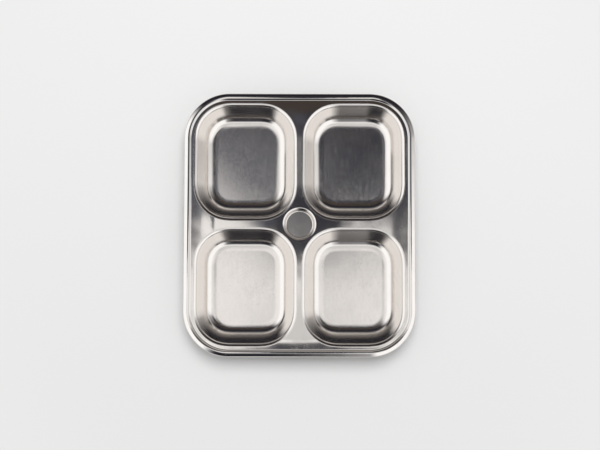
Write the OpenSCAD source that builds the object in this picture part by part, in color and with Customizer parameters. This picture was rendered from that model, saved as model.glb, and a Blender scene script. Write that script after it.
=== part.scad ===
// Four-compartment serving plate pressed from one steel sheet, with a rolled rim and a round centre recess.
// Millimetres. The plate rests on z = 0, centred on the origin, with its far edge towards +Y.

/* [Plate] */
// Width of the plate, side to side
plate_w = 216; // [190:1:260]
// Length of the plate, near edge to far edge
plate_l = 246; // [210:1:300]
// Radius of the plate's outer corners
corner_r = 42.5; // [30:0.5:50]
// Thickness of the pressed sheet
sheet_t = 0.6; // [0.4:0.1:0.8]

/* [Rolled rim] */
// Width of the rim, from its outer edge to its foot on the deck
rim_w = 6.8; // [5.8:0.1:8]
// Height of the rim's crest above the deck
rim_rise = 1.4; // [1.2:0.1:2]
// Radius of the hollow where the deck turns up into the rim
rim_foot_r = 1.2; // [1:0.1:1.4]
// Radius of the crest's inner shoulder
rim_crest_r = 1.2; // [1:0.1:1.4]
// Outside radius of the edge that is curled under
curl_r = 2.2; // [1.6:0.1:2.8]
// How far the edge curls round, in degrees
curl_angle = 150; // [100:5:165]

/* [Deck] */
// Width of the flat strip between the rim's foot and the wells
strip_w = 2.6; // [2:0.1:5]
// Gap between the left and right wells
column_gap = 4.6; // [3:0.1:10]
// Gap between the front and rear wells
row_gap = 6.6; // [4:0.1:14]

/* [Wells] */
// Depth of a well below the deck
well_depth = 20.5; // [16:0.5:26]
// How far a well's floor lies in from its lip
well_inset = 20; // [18:0.5:24]
// Radius of a well's lip
well_lip_r = 2; // [1.2:0.1:3]
// Radius of the hollow between a well's wall and its floor
well_foot_r = 12; // [6:0.5:14]

/* [Centre dimple] */
// Diameter of the centre dimple at its lip
dimple_d = 31.2; // [24:0.2:38]
// Depth of the centre dimple below the deck
dimple_depth = 3; // [2:0.1:5]
// Radius of the dimple's lip
dimple_lip_r = 1.5; // [1:0.1:2]
// Radius of the hollow between the dimple's wall and its floor
dimple_foot_r = 1.5; // [0.8:0.1:2]
// Least width of the deck between the dimple and the wells
dimple_land = 2; // [1:0.1:4]

/* [Hidden] */
$fn = 96;

// Every round turns down 4 for each 3 along, and a wall joins the ends of its two rounds
slope_sin = 4 / 5;
slope_cos = 3 / 5;
slope = acos(slope_cos);

// Height of the deck's top face over the table
deck_z = well_depth + sheet_t;

// Deck outline, inside the rim
deck_w = plate_w - 2 * rim_w;
deck_l = plate_l - 2 * rim_w;
deck_r = corner_r - rim_w;

// Corner radius, in tenths, at which a well just leaves the dimple its land
dimple_r = dimple_d / 2;
land_r = dimple_r + dimple_land;
square_corner = [column_gap, row_gap] / 2;
corner_cut = land_r - square_corner.x - square_corner.y;
passing_r = corner_cut + sqrt(pow(corner_cut, 2) + pow(land_r, 2) - pow(norm(square_corner), 2));
clear_r = ceil(10 * passing_r) / 10;

// Well outline at the lip: its corners follow the plate's, and are wider where the dimple needs it
edge_margin = rim_w + strip_w;
well_w = (plate_w - column_gap) / 2 - edge_margin;
well_l = (plate_l - row_gap) / 2 - edge_margin;
well_r = max(corner_r - edge_margin, clear_r);
well_x = (well_w + column_gap) / 2;
well_y = (well_l + row_gap) / 2;
floor_w = well_w - 2 * well_inset;
floor_l = well_l - 2 * well_inset;
floor_r = well_r - well_inset;

dimple_inset = smooth_inset(dimple_depth, dimple_lip_r + dimple_foot_r);
dimple_floor_r = dimple_r - dimple_inset;

// Broad outer round of the rim, from its crest to the curl, and the middle of the curl
rim_inset = smooth_inset(rim_rise, rim_crest_r + rim_foot_r);
crest_x = rim_w - rim_inset;
crown_r = curl_r + (crest_x - curl_r) / slope_sin;
crown_z = rim_rise - crown_r;
curl_z = crown_z + (crown_r - curl_r) * slope_cos;

// Distance along, from top to foot, at which a wall runs on smoothly from its rounds
function smooth_inset(height, rounds) = (rounds * (1 - slope_cos) + height * slope_cos) / slope_sin;

// Sheet bent about the origin, with its inner radius, between two angles
module bend(r_in, from_angle, to_angle) {
    wedge_reach = 2 * (r_in + sheet_t);
    wedge_angles = [from_angle, (from_angle + to_angle) / 2, to_angle];
    intersection() {
        difference() {
            circle(r = r_in + sheet_t);
            circle(r = r_in);
        }
        polygon(concat([[0, 0]], [for (a = wedge_angles) wedge_reach * [cos(a), sin(a)]]));
    }
}

// Section of a pressed wall that falls from the origin: x runs inwards, y is the height
module wall_section(height, inset, top_r, foot_r) {
    out = [slope_sin, slope_cos];
    top_middle = [0, -top_r];
    foot_middle = [inset, foot_r - height];
    translate(top_middle)
        bend(top_r - sheet_t, 90 - slope, 90);
    polygon([
        top_middle + top_r * out,
        top_middle + (top_r - sheet_t) * out,
        foot_middle - (foot_r + sheet_t) * out,
        foot_middle - foot_r * out
    ]);
    translate(foot_middle)
        bend(foot_r, 270 - slope, 270);
}

// Section of the rim: x runs inwards from the outer edge, y is the height over the deck
module rim_section() {
    translate([crest_x, rim_rise])
        wall_section(rim_rise, rim_inset, rim_crest_r, rim_foot_r);
    translate([crest_x, crown_z])
        bend(crown_r - sheet_t, 90, 90 + slope);
    translate([curl_r, curl_z])
        bend(curl_r - sheet_t, 90 + slope, 180 + curl_angle);
}

// Rounded rectangle made of a cross and four quarter discs
module rounded_rect(w, l, r) {
    square([w - 2 * r, l], center = true);
    for (side = [-1, 1])
        translate([side * (w - r) / 2, 0])
            square([r, l - 2 * r], center = true);
    for (quarter = [0:3])
        translate(corner_centre(quarter, w, l, r))
            rotate(90 * quarter)
                intersection() {
                    circle(r = r);
                    square(r);
                }
}

function corner_centre(quarter, w, l, r) = [
    (quarter == 0 || quarter == 3 ? 1 : -1) * (w / 2 - r),
    (quarter < 2 ? 1 : -1) * (l / 2 - r)
];

// Carries a section once around a rounded rectangle; the section's x runs inwards from the outline
module around(w, l, r) {
    for (quarter = [0:3])
        translate(corner_centre(quarter, w, l, r))
            rotate(90 * quarter) {
                rotate_extrude(angle = 90)
                    translate([r, 0])
                        mirror([1, 0])
                            children();
                rotate([90, 0, 0])
                    linear_extrude((quarter % 2 == 0 ? l : w) - 2 * r)
                        translate([r, 0])
                            mirror([1, 0])
                                children();
            }
}

module deck() {
    color("gainsboro")
        translate([0, 0, deck_z - sheet_t])
            linear_extrude(sheet_t)
                difference() {
                    rounded_rect(deck_w, deck_l, deck_r);
                    for (x = [-well_x, well_x], y = [-well_y, well_y])
                        translate([x, y])
                            rounded_rect(well_w, well_l, well_r);
                    circle(r = dimple_r);
                }
}

module rolled_rim() {
    color("silver")
        translate([0, 0, deck_z])
            around(plate_w, plate_l, corner_r)
                rim_section();
}

module well(x, y) {
    color("darkgray")
        translate([x, y, deck_z]) {
            around(well_w, well_l, well_r)
                wall_section(well_depth, well_inset, well_lip_r, well_foot_r);
            translate([0, 0, -deck_z])
                linear_extrude(sheet_t)
                    rounded_rect(floor_w, floor_l, floor_r);
        }
}

module rear_left_well() {
    well(-well_x, well_y);
}

module rear_right_well() {
    well(well_x, well_y);
}

module front_left_well() {
    well(-well_x, -well_y);
}

module front_right_well() {
    well(well_x, -well_y);
}

module centre_dimple() {
    color("lightgray")
        translate([0, 0, deck_z]) {
            rotate_extrude()
                translate([dimple_r, 0])
                    mirror([1, 0])
                        wall_section(dimple_depth, dimple_inset, dimple_lip_r, dimple_foot_r);
            translate([0, 0, -dimple_depth - sheet_t])
                cylinder(h = sheet_t, r = dimple_floor_r);
        }
}

deck();
rolled_rim();
rear_left_well();
rear_right_well();
front_left_well();
front_right_well();
centre_dimple();
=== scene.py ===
import math

import bpy
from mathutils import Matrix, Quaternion, Vector


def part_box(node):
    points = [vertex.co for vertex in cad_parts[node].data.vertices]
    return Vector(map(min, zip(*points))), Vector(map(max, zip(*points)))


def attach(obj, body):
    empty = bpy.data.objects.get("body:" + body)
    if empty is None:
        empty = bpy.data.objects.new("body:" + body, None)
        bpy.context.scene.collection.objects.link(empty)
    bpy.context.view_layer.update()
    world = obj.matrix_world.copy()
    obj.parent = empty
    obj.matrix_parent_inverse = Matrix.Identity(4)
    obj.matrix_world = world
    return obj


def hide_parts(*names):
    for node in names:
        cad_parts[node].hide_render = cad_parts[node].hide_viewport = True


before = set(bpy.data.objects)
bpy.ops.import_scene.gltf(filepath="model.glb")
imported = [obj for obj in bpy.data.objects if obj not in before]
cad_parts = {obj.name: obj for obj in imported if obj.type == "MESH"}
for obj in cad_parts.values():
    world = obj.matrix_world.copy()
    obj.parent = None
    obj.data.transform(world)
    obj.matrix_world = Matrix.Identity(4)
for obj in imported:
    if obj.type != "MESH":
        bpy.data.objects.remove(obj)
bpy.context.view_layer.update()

mm = 0.001
overlap = 0.4 * mm                         # flat strip that carries each form on into the deck
seamGap = 0.002 * mm                       # points nearer than this become one
sameLevel = 0.01 * mm                      # points within this lie at one height
floorRing = 0.3 * mm                       # narrow ring that keeps a floor flat in the shading
smoothAngle = 35                           # edges that bend less than this are shaded smooth

rimLow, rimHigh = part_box("rolled_rim")
deckLow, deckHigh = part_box("deck")
plateSize = rimHigh - rimLow
deckZ = deckHigh.z                         # top face of the deck
sheet = deckHigh.z - deckLow.z             # thickness of the pressed steel
print("frame: plate %.1f x %.1f mm, deck at %.1f mm" % (plateSize.x / mm, plateSize.y / mm, deckZ / mm))


# modelling helpers

def deselectAll():
    if bpy.context.object and bpy.context.object.mode != "OBJECT":
        bpy.ops.object.mode_set(mode="OBJECT")
    bpy.ops.object.select_all(action="DESELECT")


def makeActive(piece):
    deselectAll()
    piece.select_set(True)
    bpy.context.view_layer.objects.active = piece


def startPoint(name, x, y, z):             # one point, from which a section is drawn
    deselectAll()
    bpy.ops.mesh.primitive_plane_add(size=mm, location=(x, y, z))
    piece = bpy.context.object
    piece.name = piece.data.name = name
    bpy.ops.object.transform_apply(location=True, rotation=False, scale=False)
    bpy.ops.object.mode_set(mode="EDIT")
    bpy.ops.mesh.select_mode(type="VERT")
    bpy.ops.mesh.select_all(action="SELECT")
    bpy.ops.mesh.merge(type="CENTER")
    return piece


def drawOn(x=0, y=0, z=0):                 # straight stretch of sheet
    bpy.ops.mesh.extrude_region_move(TRANSFORM_OT_translate={"value": (x, y, z)})


def bendRound(x, y, z, turn, steps):       # round stretch about an axis along Y, a plus turn goes up to left
    bpy.ops.mesh.spin(steps=steps, angle=turn, center=(x, y, z), axis=(0, 1, 0))


def cornerReach(bends):                    # how far before the end of a side its corner begins
    reach, turned = 0, 0
    for radius, turn in bends:
        reach += radius * (math.sin(math.radians(turned + turn)) - math.sin(math.radians(turned)))
        turned += turn
    return reach


def carryAround(middle, size, bends, steps):    # takes the drawn section round a rounded rectangle
    reach = cornerReach(bends)
    place = middle + Vector((size.x / 2, reach - size.y / 2, 0))
    inwards = Vector((-1, 0, 0))
    bpy.ops.mesh.select_all(action="SELECT")
    for side in (size.x, size.y, size.x, size.y):
        for radius, turn in bends:
            centre = place + inwards * radius
            bpy.ops.mesh.spin(steps=round(steps * turn / 90), angle=math.radians(turn),
                              center=centre, axis=(0, 0, 1))
            inwards.rotate(Quaternion((0, 0, -1), math.radians(turn)))
            place = centre - inwards * radius
        ahead = Vector((-inwards.y, inwards.x, 0)) * (side - 2 * reach)
        drawOn(*ahead)
        place = place + ahead
    closeSeams()


def closeSeams():
    bpy.ops.mesh.select_all(action="SELECT")
    bpy.ops.mesh.remove_doubles(threshold=seamGap)


def pickEdges(piece, test):                # selects the open edges whose two ends pass the test
    bpy.ops.mesh.select_mode(type="EDGE")
    bpy.ops.mesh.select_all(action="DESELECT")
    bpy.ops.mesh.select_non_manifold(extend=False)
    bpy.ops.object.mode_set(mode="OBJECT")
    points = piece.data.vertices
    wanted = [e for e in piece.data.edges if e.select and all(test(points[i].co) for i in e.vertices)]
    for part in [*points, *piece.data.edges]:
        part.select = False
    for edge in wanted:
        edge.select = True
        for i in edge.vertices:
            points[i].select = True
    bpy.ops.object.mode_set(mode="EDIT")


def faceUp(piece):                         # turns the whole sheet so that its food side is the front
    bpy.ops.mesh.select_mode(type="FACE")
    bpy.ops.mesh.select_all(action="SELECT")
    bpy.ops.mesh.normals_make_consistent(inside=False)
    bpy.ops.object.mode_set(mode="OBJECT")
    rise = sum(face.normal.z * face.area for face in piece.data.polygons)
    bpy.ops.object.mode_set(mode="EDIT")
    if rise < 0:
        bpy.ops.mesh.flip_normals()


def copyBorder(piece, name):               # the loop where a form meets the deck, as an object of its own
    makeActive(piece)
    bpy.ops.object.mode_set(mode="EDIT")
    pickEdges(piece, lambda place: abs(place.z - deckZ) < sameLevel)
    bpy.ops.mesh.duplicate()
    bpy.ops.mesh.separate(type="SELECTED")
    bpy.ops.object.mode_set(mode="OBJECT")
    loop = [o for o in bpy.context.selected_objects if o != piece][0]
    loop.name = name
    return loop


def giveThickness(piece):                  # the drawn face is the food side, the steel lies behind it
    makeActive(piece)
    wall = piece.modifiers.new("sheet", "SOLIDIFY")
    wall.thickness = sheet
    wall.offset = -1
    wall.use_even_offset = True
    wall.use_quality_normals = True
    bpy.ops.object.modifier_apply(modifier=wall.name)
    bpy.ops.object.shade_smooth_by_angle(angle=math.radians(smoothAngle))


# rolled rim
rimMake = {
    "bends": [(42.5 * mm, 90)], "step": 45, "lean": 3.7, "fall": 20,
    "foot": 1.0 * mm, "shoulder": 0.4 * mm, "ridge": 0.5 * mm, "crown": 1.3 * mm,
    "edge": 1.6 * mm, "curlTurn": 150,     # a tighter and higher curl than the solid has
    "footSteps": 8, "edgeSteps": 36, "cornerSteps": 40,
}


def makeRim(make):                         # step up, leaning crown, ridge, outer fall, edge curled under
    step, lean, fall = [math.radians(make[name]) for name in ("step", "lean", "fall")]
    foot, shoulder, ridge = make["foot"], make["shoulder"], make["ridge"]
    edge, crown = make["edge"], make["crown"]
    footX, outX = deckHigh.x, rimHigh.x
    rise = rimHigh.z - deckZ - ridge * (1 - math.cos(lean)) - crown * math.sin(lean)
    rise -= shoulder * (math.cos(lean) - math.cos(step)) + foot * (1 - math.cos(step))
    flank = rise / math.sin(step)
    shoulderX = footX + (foot + shoulder) * math.sin(step) + flank * math.cos(step)
    shoulderZ = deckZ + foot - (foot + shoulder) * math.cos(step) + flank * math.sin(step)
    ridgeX = shoulderX + (ridge - shoulder) * math.sin(lean) + crown * math.cos(lean)
    ridgeZ = rimHigh.z - ridge
    outer = (outX - edge - ridgeX + (edge - ridge) * math.sin(fall)) / math.cos(fall)
    edgeZ = ridgeZ - (edge - ridge) * math.cos(fall) - outer * math.sin(fall)
    startY = cornerReach(make["bends"]) - plateSize.y / 2
    rim = startPoint("rolledRim", footX - overlap, startY, deckZ)
    drawOn(overlap)
    bendRound(footX, startY, deckZ + foot, step, make["footSteps"])
    drawOn(flank * math.cos(step), 0, flank * math.sin(step))
    bendRound(shoulderX, startY, shoulderZ, lean - step, make["footSteps"])
    drawOn(crown * math.cos(lean), 0, crown * math.sin(lean))
    bendRound(ridgeX, startY, ridgeZ, -lean - fall, make["footSteps"])
    drawOn(outer * math.cos(fall), 0, -outer * math.sin(fall))
    bendRound(outX - edge, startY, edgeZ, fall - math.radians(90 + make["curlTurn"]), make["edgeSteps"])
    carryAround(Vector((0, 0, 0)), plateSize, make["bends"], make["cornerSteps"])
    faceUp(rim)
    deselectAll()
    return rim


rolledRim = makeRim(rimMake)
print("rim drawn:", len(rolledRim.data.polygons), "faces")

# four wells, one drawn and three copied
wellMake = {
    "bends": [(60 * mm, 8), (32.2 * mm, 74), (60 * mm, 8)],      # the corners ease into the sides
    "inset": 21.2 * mm, "lip": 3.6 * mm, "toe": 55 * mm,
    "lipTurn": 73, "footTurn": 53.5, "toeTurn": 4.2,
    "lipSteps": 14, "wallSteps": 12, "footSteps": 20, "toeSteps": 6, "cornerSteps": 40,
}
wellNames = {"rear_left_well": "rearLeftWell", "rear_right_well": "rearRightWell",
             "front_left_well": "frontLeftWell", "front_right_well": "frontRightWell"}


def makeDish(name, edge, floorZ, make):    # section of a pressed wall: lip, wall, foot and toe
    first, low, high = [math.radians(make[turn]) for turn in ("toeTurn", "footTurn", "lipTurn")]
    lip, toe = make["lip"], make["toe"]
    inset = make["inset"] - lip * math.sin(high) - toe * math.sin(first)
    drop = deckZ - floorZ - lip * (1 - math.cos(high)) - toe * (1 - math.cos(first))
    footX, footZ = math.sin(low) - math.sin(first), math.cos(first) - math.cos(low)
    wallX, wallZ = math.sin(high) - math.sin(low), math.cos(low) - math.cos(high)
    scale = footX * wallZ - footZ * wallX
    foot = (inset * wallZ - drop * wallX) / scale                # radius of the hollow round the floor
    bow = (drop * footX - inset * footZ) / scale                 # the wall is a little hollow too
    dish = startPoint(name, edge.x + overlap, edge.y, deckZ)
    drawOn(-overlap)
    bendRound(edge.x, edge.y, deckZ - lip, high, make["lipSteps"])
    toeX, toeZ = edge.x - make["inset"], floorZ + toe
    nextX, nextZ = toeX - (foot - toe) * math.sin(first), toeZ + (foot - toe) * math.cos(first)
    wallMidX, wallMidZ = nextX - (bow - foot) * math.sin(low), nextZ + (bow - foot) * math.cos(low)
    bendRound(wallMidX, edge.y, wallMidZ, low - high, make["wallSteps"])
    bendRound(nextX, edge.y, nextZ, first - low, make["footSteps"])
    bendRound(toeX, edge.y, toeZ, -first, make["toeSteps"])      # the floor begins to rise before the foot
    print(name, "foot %.2f mm, wall %.2f mm" % (foot / mm, bow / mm))
    return dish


def fillFloor(dish, floorZ):
    pickEdges(dish, lambda place: abs(place.z - floorZ) < sameLevel)
    bpy.ops.mesh.edge_face_add()
    bpy.ops.mesh.inset(thickness=floorRing, depth=0)
    faceUp(dish)
    deselectAll()


def makeWell(make):
    low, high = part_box("rear_left_well")
    middle, size = (low + high) / 2, high - low
    floorZ = low.z + sheet
    edge = Vector((high.x, low.y + cornerReach(make["bends"]), deckZ))
    well = makeDish("rearLeftWell", edge, floorZ, make)
    carryAround(middle, size, make["bends"], make["cornerSteps"])
    fillFloor(well, floorZ)
    return well


def copyWell(well, node):
    home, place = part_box("rear_left_well")[0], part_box(node)[0]
    makeActive(well)
    bpy.ops.object.duplicate()
    copy = bpy.context.object
    copy.name = copy.data.name = wellNames[node]
    bpy.ops.transform.translate(value=place - home)
    bpy.ops.object.transform_apply(location=True, rotation=False, scale=False)
    return copy


wells = {"rear_left_well": makeWell(wellMake)}
for node in list(wellNames)[1:]:
    wells[node] = copyWell(wells["rear_left_well"], node)
print("wells drawn:", len(wells["rear_left_well"].data.polygons), "faces each")

# round dimple in the middle
dimpleMake = {
    "inset": 3.75 * mm, "lip": 1.5 * mm, "toe": 6 * mm, "lipTurn": 58, "footTurn": 45, "toeTurn": 3,
    "lipSteps": 8, "wallSteps": 4, "footSteps": 8, "toeSteps": 3, "turnSteps": 96,
}


def makeDimple(make):
    low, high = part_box("centre_dimple")
    middle = (low + high) / 2
    floorZ = low.z + sheet
    edge = Vector((high.x, middle.y, deckZ))
    dimple = makeDish("centreDimple", edge, floorZ, make)
    bpy.ops.mesh.select_all(action="SELECT")
    bpy.ops.mesh.spin(steps=make["turnSteps"], angle=2 * math.pi, center=middle, axis=(0, 0, 1))
    closeSeams()
    fillFloor(dimple, floorZ)
    return dimple


centreDimple = makeDimple(dimpleMake)
print("dimple drawn:", len(centreDimple.data.polygons), "faces")


# deck, filled between the borders of the other forms
def makeDeck(forms):
    loops = [copyBorder(form, "border") for form in forms]
    makeActive(loops[0])
    for loop in loops:
        loop.select_set(True)
    bpy.ops.object.join()
    deck = bpy.context.object
    deck.name = deck.data.name = "deckSheet"
    bpy.ops.object.mode_set(mode="EDIT")
    bpy.ops.mesh.select_all(action="SELECT")
    bpy.ops.mesh.fill(use_beauty=True)
    faceUp(deck)
    deselectAll()
    return deck


deckSheet = makeDeck([rolledRim, *wells.values(), centreDimple])
print("deck filled:", len(deckSheet.data.polygons), "faces")

for piece in [deckSheet, rolledRim, *wells.values(), centreDimple]:
    giveThickness(piece)
print("sheet given its thickness:", round(sheet / mm, 2), "mm")


# shader sums are written on this, and every other node comes from its node method
class Tone:
    def __init__(self, tree, socket=None):
        self.tree, self.socket = tree, socket

    def node(self, kind, settings, sockets, out=0):
        made = self.tree.nodes.new(kind)
        for name, value in settings.items():
            setattr(made, name, value)
        for name, value in sockets.items():
            if isinstance(value, Tone):
                self.tree.links.new(value.socket, made.inputs[name])
            else:
                made.inputs[name].default_value = value
        return Tone(self.tree, made.outputs[out] if made.outputs else None)

    def maths(self, operation, first, second):
        return self.node("ShaderNodeMath", {"operation": operation}, {0: first, 1: second})

    def __add__(self, other):
        return self.maths("ADD", self, other)

    def __radd__(self, other):
        return self.maths("ADD", other, self)

    def __sub__(self, other):
        return self.maths("SUBTRACT", self, other)

    def __rsub__(self, other):
        return self.maths("SUBTRACT", other, self)

    def __mul__(self, other):
        return self.maths("MULTIPLY", self, other)

    def __rmul__(self, other):
        return self.maths("MULTIPLY", other, self)

    def __truediv__(self, other):
        return self.maths("DIVIDE", self, other)

    def __pow__(self, other):
        return self.maths("POWER", self, other)

    def step(self, low, high):             # 0 below low, 1 above high, smooth between
        return self.node("ShaderNodeMapRange", {"interpolation_type": "SMOOTHSTEP"},
                         {"Value": self, "From Min": low, "From Max": high})

    def split(self):
        cut = self.node("ShaderNodeSeparateXYZ", {}, {"Vector": self})
        return [Tone(self.tree, cut.socket.node.outputs[i]) for i in range(3)]

    def stretch(self, size, turn=0.0):     # pattern space turned, then measured in its own cell size
        return self.node("ShaderNodeMapping", {"vector_type": "TEXTURE"},
                         {"Vector": self, "Scale": size, "Rotation": (0, 0, turn)})

    def noise(self, scale, detail=2.0, rough=0.5):
        return self.node("ShaderNodeTexNoise", {}, {"Vector": self, "Scale": scale, "Detail": detail,
                                                    "Roughness": rough})

    def blend(self, first, second):        # two colours, mixed by this value
        return self.node("ShaderNodeMix", {"data_type": "RGBA"}, {"Factor": self, 6: first, 7: second}, 2)

    def bump(self, strength, distance, under=None):
        sockets = {"Height": self, "Strength": strength, "Distance": distance}
        if under:
            sockets["Normal"] = under
        return self.node("ShaderNodeBump", {}, sockets)


def startFinish(name):
    material = bpy.data.materials.new(name)
    material.use_nodes = True
    material.node_tree.nodes.clear()
    start = Tone(material.node_tree)
    place = start.node("ShaderNodeTexCoord", {}, {}, "Object")
    return material, place


def closeFinish(place, sockets):
    steel = place.node("ShaderNodeBsdfPrincipled", {}, {"Metallic": 1.0, **sockets})
    place.node("ShaderNodeOutputMaterial", {}, {"Surface": steel})


# finishes
steelMake = {
    "colour": (0.79, 0.755, 0.725, 1), "dull": (0.69, 0.66, 0.635, 1),
    "scratchDepth": 0.003 * mm, "scratchWide": 0.5 * mm, "scratchSoft": 0.06,
    "patchSize": 30.0, "patchRange": (0.45, 0.65), "dustSize": 750.0, "dustRange": (0.78, 0.84),
}
polishMake = {
    "smudgeSize": 22.0, "smudgeRange": (0.45, 0.75),
    "scratches": [(0.5, 14 * mm, 0.64), (-0.9, 18 * mm, 0.66)], "scratchBump": 0.08,
    "roughShares": (0.03, 0.02, 0.12), "dullShares": (0.35, 0.3, 0.3),
}
satinMake = {
    "smudgeSize": 26.0, "smudgeRange": (0.4, 0.8), "scratches": [(0.3, 16 * mm, 0.64)],
    "roughShares": (0.03, 0.015, 0.08), "dullShares": (0.3, 0.25, 0.3),
    "floorBand": (0.05 * mm, 0.45 * mm), "mottleDull": 0.03,
    "mottleSize": 650.0, "mottleShares": (0.6, 0.4), "mottleRange": (0.36, 0.68),
}
deckMake = {
    "rough": 0.05, "swellSize": 45.0, "swellDepth": 0.10 * mm,
    "slope": 0.060, "slopeSoft": 25 * mm, "slopeRough": 0.04, "slopeUneven": (35.0, 0.9, 0.2),
    "slopeRight": 80 * mm, "slopeLeft": 82 * mm, "slopeNear": 106 * mm, "nearSteep": 1.7,
    "ripple": (78 * mm, 83.5 * mm, 92 * mm), "rippleDepth": 0.10 * mm, "rippleLong": (2 * mm, 16 * mm),
}
rimFinishMake = {"rough": 0.05, "swellSize": 60.0, "swellDepth": 0.06 * mm}
wellFinishMake = {
    "rough": 0.14, "floorRough": 0.125, "swellSize": 30.0, "swellDepth": 0.06 * mm,
    "grain": (1.1 * mm, 16 * mm, 16 * mm), "grainDepth": 0.003 * mm, "mottle": 0.046,
}
dimpleFinishMake = {
    "rough": 0.06, "floorRough": 0.115, "swellSize": 30.0, "swellDepth": 0.03 * mm,
    "grain": (0.9 * mm, 14 * mm, 14 * mm), "grainDepth": 0.003 * mm, "mottle": 0.02,
}


def hairScratches(place, turn, length, limit):    # sparse fine straight scratches along one direction
    lines = place.stretch((steelMake["scratchWide"], length, length), turn).noise(1.0, 0.0)
    patches = place.noise(steelMake["patchSize"], 1.0)
    return lines.step(limit, limit + steelMake["scratchSoft"]) * patches.step(*steelMake["patchRange"])


def wearMarks(place, make):                # masks of smudges, scratches and dust
    smudge = place.noise(make["smudgeSize"], 3.0, 0.6).step(*make["smudgeRange"])
    scratch = sum(hairScratches(place, *cut) for cut in make["scratches"])
    dust = place.noise(steelMake["dustSize"], 0.0).step(*steelMake["dustRange"])
    return smudge, scratch, dust


def addMarks(marks, shares):
    return sum(mark * share for mark, share in zip(marks, shares))


def swelling(place, make):                 # the slight unevenness of pressed sheet
    return place.noise(make["swellSize"], 1.0, 0.4).bump(1.0, make["swellDepth"])


def polishedSteel(name, make):
    material, place = startFinish(name)
    marks = wearMarks(place, polishMake)
    normal = swelling(place, make)
    rough = make["rough"] + addMarks(marks, polishMake["roughShares"])
    if "slope" in make:                    # in the shading only, the sheet rises a little beside the rim
        x, y = place.split()[:2]
        out = x.maths("MAXIMUM", x - make["slopeRight"], 0 - x - make["slopeLeft"])
        out = out.maths("MAXIMUM", out, (0 - y - make["slopeNear"]) * make["nearSteep"])
        out = out.maths("MAXIMUM", out, 0)
        start, top, end = make["ripple"]
        ripple = (0 - x).step(start, top) * (1 - (0 - x).step(top, end)) * make["rippleDepth"]
        ripple = ripple * (1 - y.maths("ABSOLUTE", y, 0).step(*make["rippleLong"]))
        unevenSize, least, more = make["slopeUneven"]
        drawn = out * out / (out + make["slopeSoft"]) * make["slope"]
        drawn = drawn * (least + place.noise(unevenSize, 1.0) * more)
        normal = (drawn + ripple).bump(1.0, 1.0, normal)
        rough = rough + out.step(0, make["slopeSoft"]) * make["slopeRough"]
    normal = marks[1].bump(polishMake["scratchBump"], steelMake["scratchDepth"], normal)
    worn = addMarks(marks, polishMake["dullShares"])
    closeFinish(place, {"Base Color": worn.blend(steelMake["colour"], steelMake["dull"]),
                        "Roughness": rough, "Normal": normal})
    return material


def satinSteel(name, make, floorZ):        # polished walls running into a satin floor
    material, place = startFinish(name)
    z = place.split()[2]
    bandLow, bandHigh = satinMake["floorBand"]
    floor = 1 - z.step(floorZ + bandLow, floorZ + bandHigh)
    grain = place.stretch(make["grain"]).noise(1.0, 3.0, 0.6)
    marks = wearMarks(place, satinMake)
    normal = (grain * floor).bump(1.0, make["grainDepth"], swelling(place, make))
    fleckShare, grainShare = satinMake["mottleShares"]
    mottle = place.noise(satinMake["mottleSize"], 2.0, 0.7) * fleckShare + grain * grainShare
    mottle = mottle.step(*satinMake["mottleRange"])
    rough = make["rough"] + floor * (make["floorRough"] - make["rough"] + (mottle - 0.5) * make["mottle"])
    rough = rough + addMarks(marks, satinMake["roughShares"])
    worn = addMarks(marks, satinMake["dullShares"]) + mottle * floor * satinMake["mottleDull"]
    closeFinish(place, {"Base Color": worn.blend(steelMake["colour"], steelMake["dull"]),
                        "Roughness": rough, "Normal": normal})
    return material


deckFinish = polishedSteel("deckSteel", deckMake)
rimFinish = polishedSteel("rimSteel", rimFinishMake)
wellFinish = satinSteel("wellSteel", wellFinishMake, sheet)
dimpleFinish = satinSteel("dimpleSteel", dimpleFinishMake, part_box("centre_dimple")[0].z + sheet)

finishes = {
    "deck": (deckSheet, deckFinish, "polished_steel"),
    "rolled_rim": (rolledRim, rimFinish, "polished_steel"),
    "centre_dimple": (centreDimple, dimpleFinish, "satin_steel"),
}
for node, well in wells.items():
    finishes[node] = (well, wellFinish, "well_steel")
for node, (piece, finish, slot) in finishes.items():
    piece.data.materials.clear()
    piece.data.materials.append(finish)
    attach(piece, "root")
    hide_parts(node)
print("finishes given to", len(finishes), "pieces")

# table
tableMake = {
    "size": 40.0, "colour": (0.84, 0.84, 0.84, 1), "rough": 0.9,
    "backdrop": (0.86, 0.86, 0.86, 1), "fade": (0.20, 0.50),
}


def raysSeen(tone, *names):                # 1 for the rays named, 0 for the rest
    rays = tone.node("ShaderNodeLightPath", {}, {}).socket.node.outputs
    return sum(Tone(tone.tree, rays[name]) for name in names)


def paleTable(make):                       # well away from the plate the table runs into the backdrop
    material, place = startFinish("paleTable")
    x, y = place.split()[:2]
    away = ((x * x + y * y) ** 0.5).step(*make["fade"])
    seen = raysSeen(place, "Is Camera Ray", "Is Glossy Ray", "Is Transmission Ray")
    board = place.node("ShaderNodeBsdfPrincipled", {},
                       {"Base Color": make["colour"], "Roughness": make["rough"], "Specular IOR Level": 0.0})
    distance = place.node("ShaderNodeEmission", {}, {"Color": make["backdrop"], "Strength": 1.0})
    shade = place.node("ShaderNodeMixShader", {}, {0: seen * away, 1: board, 2: distance})
    place.node("ShaderNodeOutputMaterial", {}, {"Surface": shade})
    material.cycles.emission_sampling = "NONE"
    return material


deselectAll()
bpy.ops.mesh.primitive_plane_add(size=tableMake["size"], location=(0, 0, 0))
table = bpy.context.object
table.name = "table"
table.data.materials.append(paleTable(tableMake))

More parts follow.
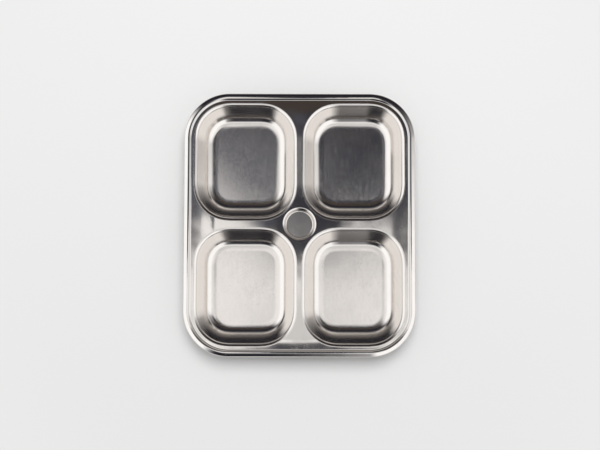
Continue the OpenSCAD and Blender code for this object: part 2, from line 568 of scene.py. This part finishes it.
# studio: pale walls and ceiling, a dark opening behind the plate and a narrower one in front
studioMake = {
    "leastUp": 0.02, "leastLevel": 0.001, "overhead": (0.965, 0.998),
    "ceiling": (1.07, 1.06, 1.05, 1), "ceilingFront": (0.74, 0.74, 0.74, 1), "ceilingAside": (0.4, 1.0),
    "ceilingBack": (-0.04, 0.06), "ceilingRight": (0, 0.05), "ceilingShare": 0.6,
    "walls": (1.235, 1.245, 1.255, 1), "wallTop": (0.82, 0.985),
    "foot": (0.80, 0.82, 0.84, 1), "wallFoot": (0.17, 0.36),
    "dark": (0.022, 0.022, 0.029, 1), "darkTop": (0.094, 0.100, 0.126, 1), "darkRise": (0.75, 0.93),
    "darkRight": (0.022, 0.0255, 0.040, 1), "darkSides": (-0.02, 0.03),
    "farTint": (0.062, 0.050, 0.043, 1), "farTintStart": (0.155, 0.185),
    "horizon": (0.37, 0.355, 0.34, 1), "horizonRight": (0.48, 0.455, 0.43, 1), "horizonSides": (-0.12, 0.12),
    "horizonTop": (0.08, 0.57), "horizonFront": (-0.2, 0.2),
    "rearRight": (0.0575, 0.09, 0.105, 0.13), "rearRightRise": (0.50, 0.80),
    "rearLeft": (0.028, 0.50, 0.85, 0.32), "rearLeftRise": (0.42, 0.60),
    "rearSoft": 0.12, "rearEdge": (-1, 1), "slowEdge": (0, 5.5), "slowShare": 0.4, "slowTop": (0.75, 0.95),
    "frontWay": (-0.208, -0.978), "frontWide": (0.88, 0.99), "frontTop": (0.70, 0.92),
    "lens": (0.040, 0.040, 0.050, 1), "lensWay": (0.005, 0.06), "lensSize": (0.030, 0.047),
    "slit": (0.22, 0.22, 0.23, 1), "slitWide": (0.012, 0.030), "slitWay": (0.095, 0.110, 0.140, 0.158),
    "fill": 0.54,
}


def makeStudio(make):
    world = bpy.data.worlds.new("studio")
    bpy.context.scene.world = world
    world.use_nodes = True
    world.node_tree.nodes.clear()
    start = Tone(world.node_tree)
    x, y, z = start.node("ShaderNodeTexCoord", {}, {}, "Generated").split()
    up = z.maths("MAXIMUM", z, make["leastUp"])
    right, left = x.maths("MAXIMUM", x, 0), x.maths("MAXIMUM", 0 - x, 0)
    level = (x * x + y * y) ** 0.5 + make["leastLevel"]
    aside = (right + left) / level
    overhead = z.step(*make["overhead"])
    rightStart, rightLow, rightHigh, rightSoft = make["rearRight"]
    leftStart, leftLow, leftHigh, leftSoft = make["rearLeft"]
    rightSlant = rightLow + (rightHigh - rightLow) * z.step(*make["rearRightRise"])
    leftSlant = leftLow + (leftHigh - leftLow) * z.step(*make["rearLeftRise"])
    pastRight = (y - rightStart * up - rightSlant * right) / level
    pastLeft = (y - leftStart * up - leftSlant * left) / level
    pastRight = pastRight / (rightSoft + (make["rearSoft"] - rightSoft) * overhead)
    pastLeft = pastLeft / (leftSoft + (make["rearSoft"] - leftSoft) * overhead)
    slow = (1 - z.step(*make["slowTop"])) * make["slowShare"]    # low down, the right side darkens slowly
    rightEdge = pastRight.step(*make["rearEdge"]) * (1 - slow) + pastRight.step(*make["slowEdge"]) * slow
    behind = rightEdge * pastLeft.step(*make["rearEdge"])
    wayX, wayY = make["frontWay"]
    inFront = ((x * wayX + y * wayY) / level).step(*make["frontWide"]) * (1 - z.step(*make["frontTop"]))
    ceiling = aside.step(*make["ceilingAside"]).blend(make["ceilingFront"], make["ceiling"])
    duller = (y / up).step(*make["ceilingBack"]) * (x / up).step(*make["ceilingRight"]) * make["ceilingShare"]
    ceiling = duller.blend(ceiling, make["ceilingFront"])
    pale = z.step(*make["wallTop"]).blend(make["walls"], ceiling)
    pale = z.step(*make["wallFoot"]).blend(make["foot"], pale)
    lensX, lensY = make["lensWay"]
    lens = ((x / up - lensX) ** 2 + (y / up - lensY) ** 2) ** 0.5
    above = (x / up).step(*make["darkSides"]).blend(make["darkTop"], make["darkRight"])
    above = (y / up).step(*make["farTintStart"]).blend(above, make["farTint"])
    dark = z.step(*make["darkRise"]).blend(make["dark"], above)
    horizon = (x / level).step(*make["horizonSides"]).blend(make["horizon"], make["horizonRight"])
    dark = (z.step(*make["horizonTop"]) + (1 - y.step(*make["horizonFront"]))).blend(horizon, dark)
    ahead = y / up
    near, nearEnd, farStart, far = make["slitWay"]
    slit = (1 - ((right + left) / up).step(*make["slitWide"])) * ahead.step(near, nearEnd)
    slit = slit * (1 - ahead.step(farStart, far))
    dark = slit.blend(dark, make["slit"])
    dome = ((1 - behind) * (1 - inFront)).blend(dark, pale)
    dome = lens.step(*make["lensSize"]).blend(make["lens"], dome)
    domeShade = start.node("ShaderNodeBackground", {}, {"Color": dome, "Strength": 1.0})
    backShade = start.node("ShaderNodeBackground", {}, {"Color": tableMake["backdrop"], "Strength": 1.0})
    fillShade = start.node("ShaderNodeBackground", {}, {"Color": (1, 1, 1, 1), "Strength": make["fill"]})
    mirrored = raysSeen(start, "Is Glossy Ray", "Is Transmission Ray")
    shade = start.node("ShaderNodeMixShader", {}, {0: mirrored, 1: fillShade, 2: domeShade})
    direct = raysSeen(start, "Is Camera Ray")
    shade = start.node("ShaderNodeMixShader", {}, {0: direct, 1: shade, 2: backShade})
    start.node("ShaderNodeOutputWorld", {}, {"Surface": shade})


makeStudio(studioMake)

lampMake = {"place": (0.09, 0.80, 1.95), "size": 1.24, "power": 25.0}
deselectAll()
bpy.ops.object.light_add(type="AREA", location=lampMake["place"])
lamp = bpy.context.object
lamp.name = "softLamp"
lamp.data.size = lampMake["size"]
lamp.data.energy = lampMake["power"]
lamp.rotation_euler = (-lamp.location).to_track_quat("-Z", "Y").to_euler()
lamp.visible_glossy = False                # the dome alone is mirrored in the steel
print("studio lit")

# camera, as the photograph was taken: almost straight down, from a little in front
shotMake = {"distance": 0.94, "tilt": 3.57, "roll": 0.13, "pixelSize": 0.9315 * mm,
            "imageSize": (600, 450), "plateCentre": (298.95, 223.7), "sensor": 36, "nearest": 0.01}


def makeCamera(make):
    deselectAll()
    tilt = math.radians(make["tilt"])
    width, height = make["imageSize"]
    offX = (width - 1) / 2 - make["plateCentre"][0]
    offY = (height - 1) / 2 - make["plateCentre"][1]
    aim = Vector((offX, -offY, 0)) * make["pixelSize"] + Vector((0, 0, deckZ))
    place = aim + make["distance"] * Vector((0, -math.sin(tilt), math.cos(tilt)))
    bpy.ops.object.camera_add(location=place, rotation=(tilt, 0, 0))
    camera = bpy.context.object
    camera.name = "shot"
    camera.rotation_euler.rotate_axis("Z", math.radians(make["roll"]))
    camera.data.sensor_width = make["sensor"]
    camera.data.lens = make["sensor"] * make["distance"] / make["pixelSize"] / width
    camera.data.clip_start = make["nearest"]
    bpy.context.scene.camera = camera


makeCamera(shotMake)
bpy.context.scene.view_settings.view_transform = "Standard"
